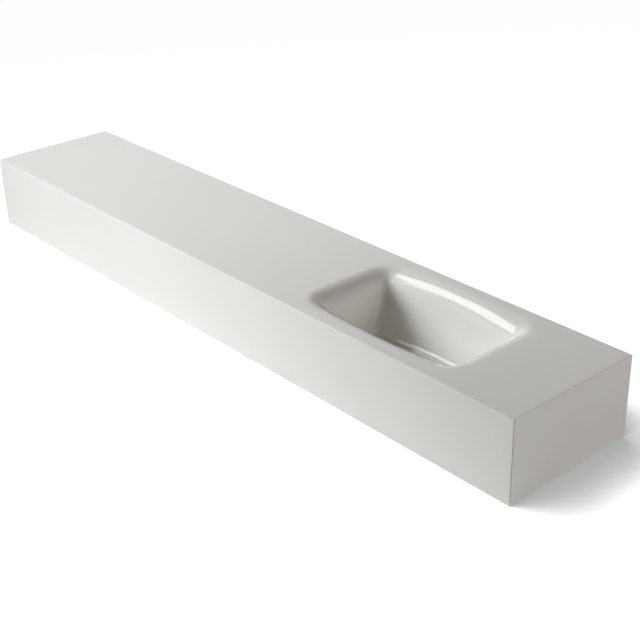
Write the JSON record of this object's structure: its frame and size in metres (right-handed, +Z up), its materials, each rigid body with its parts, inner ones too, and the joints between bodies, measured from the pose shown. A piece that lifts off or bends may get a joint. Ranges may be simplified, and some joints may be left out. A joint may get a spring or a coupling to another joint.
{
  "type": "hand basin",
  "caption": "Long shallow wall-hung hand basin with a wide shelf and a rounded bowl near its right end, with sharp mitred edges and a push-open waste.",
  "frame": {"origin": "middle of the body's base, on the floor plane that the body stands on", "axes": "+X along the length to the right as seen from the front, with the bowl at +X; +Y to the wall; +Z up"},
  "size_m": [1.2, 0.22, 0.12],
  "materials": {
    "solid_surface": "gloss",
    "plywood": "matte",
    "galvanised_steel": "satin",
    "zinc_plated_steel": "gloss",
    "chrome": "polished",
    "stem_steel": "satin",
    "spring_steel": "satin",
    "black_rubber": "matte",
    "white_plastic": "satin",
    "brass": "satin"
  },
  "bodies": {
    "basin": {"deck": "solid_surface", "front_apron": "solid_surface", "left_end_panel": "solid_surface", "right_end_panel": "solid_surface", "rear_apron": "solid_surface", "bowl": "solid_surface", "front_batten": "plywood", "rear_batten": "plywood", "front_end_batten": "plywood", "rear_end_batten": "plywood", "cross_rib_1": "plywood", "cross_rib_2": "plywood", "cross_rib_3": "plywood", "bowl_rib_left": "plywood", "bowl_rib_right": "plywood", "corner_blocks": "plywood", "wall_plate_left": "galvanised_steel", "wall_plate_centre": "galvanised_steel", "wall_plate_right": "galvanised_steel", "plate_screws": "zinc_plated_steel", "waste_body": "chrome", "flange_gasket": "black_rubber", "rubber_washer": "black_rubber", "slip_washer": "white_plastic", "back_nut": "brass", "cartridge_barrel": "white_plastic", "cartridge_cap": "white_plastic", "cartridge_spring": "spring_steel"},
    "plug": {"plug_cap": "chrome", "plug_seal": "black_rubber", "plug_stem": "stem_steel"}
  },
  "joints": [
    {"name": "plug_lift", "type": "slide", "parent": "basin", "child": "plug", "axis": [0, 0, 1], "range_m": [0, 0.008], "deforming": ["cartridge_spring"]}
  ]
}
